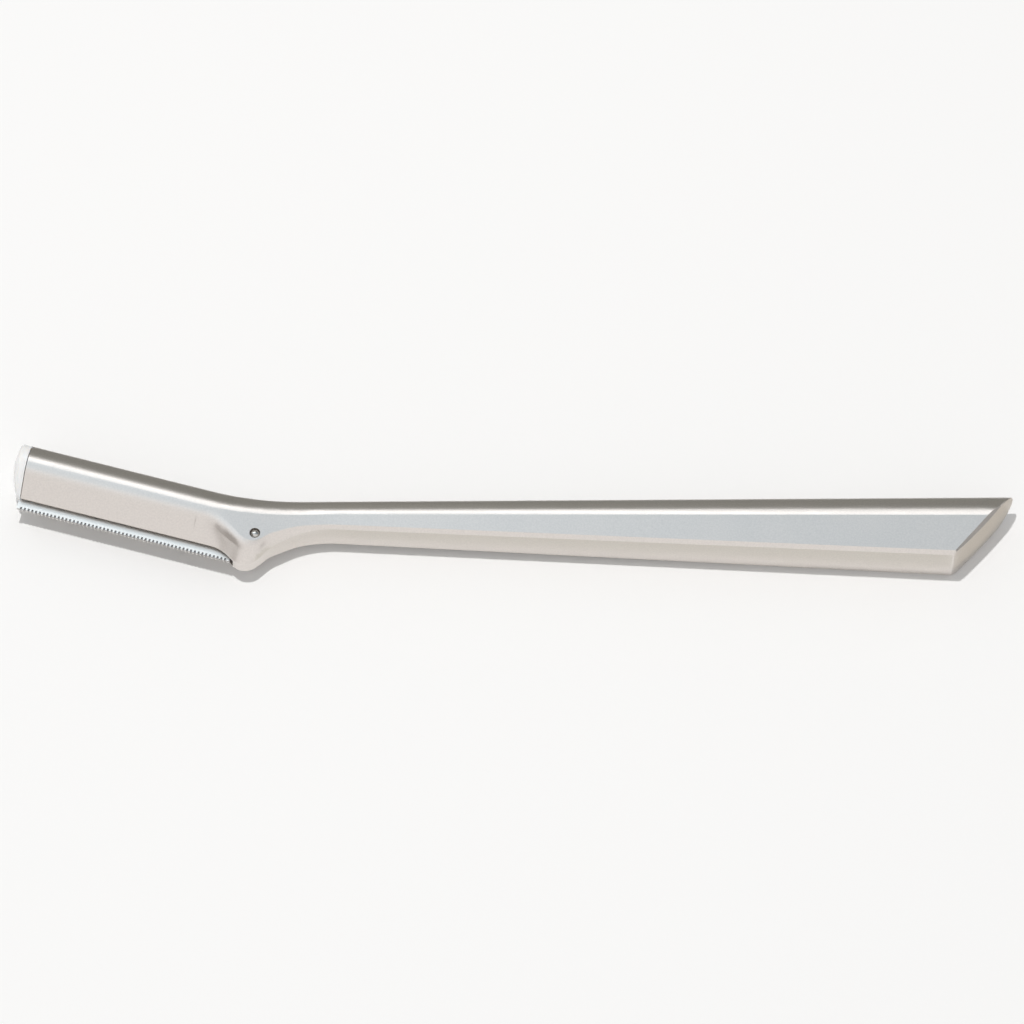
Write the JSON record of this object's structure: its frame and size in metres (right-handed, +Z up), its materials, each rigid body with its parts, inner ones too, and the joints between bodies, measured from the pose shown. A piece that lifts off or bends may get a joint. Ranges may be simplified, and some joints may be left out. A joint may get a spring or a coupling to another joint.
{
  "type": "eyebrow razor",
  "caption": "Slim eyebrow razor: a satin metal handle with an angled hollow head that holds a slide-in blade cartridge with comb guards.",
  "frame": {"origin": "on the surface that the razor lies on, under the middle of its overall box", "axes": "+X along the handle towards its slanted end, +Y towards the back, away from the blade's edge, +Z up from the surface"},
  "size_m": [0.14, 0.019, 0.0081],
  "materials": {
    "satin_metal": "fine bead-blasted satin plating",
    "polished_steel": "polished",
    "white_plastic": "smooth moulded, semi-gloss",
    "blade_steel": "rolled, with a ground edge",
    "comb_steel": "bright rolled"
  },
  "bodies": {
    "handle": {"handle": "satin_metal", "catch_pin": "polished_steel"},
    "cartridge": {"blade_carrier": "white_plastic", "carrier_cap": "white_plastic", "blade": "blade_steel", "guard_comb_upper": "comb_steel", "guard_comb_lower": "comb_steel"}
  },
  "joints": [
    {"name": "cartridge_slide", "type": "slide", "parent": "handle", "child": "cartridge", "axis": [-0.9632, 0.2689, 0], "range_m": [0, 0.04]}
  ]
}
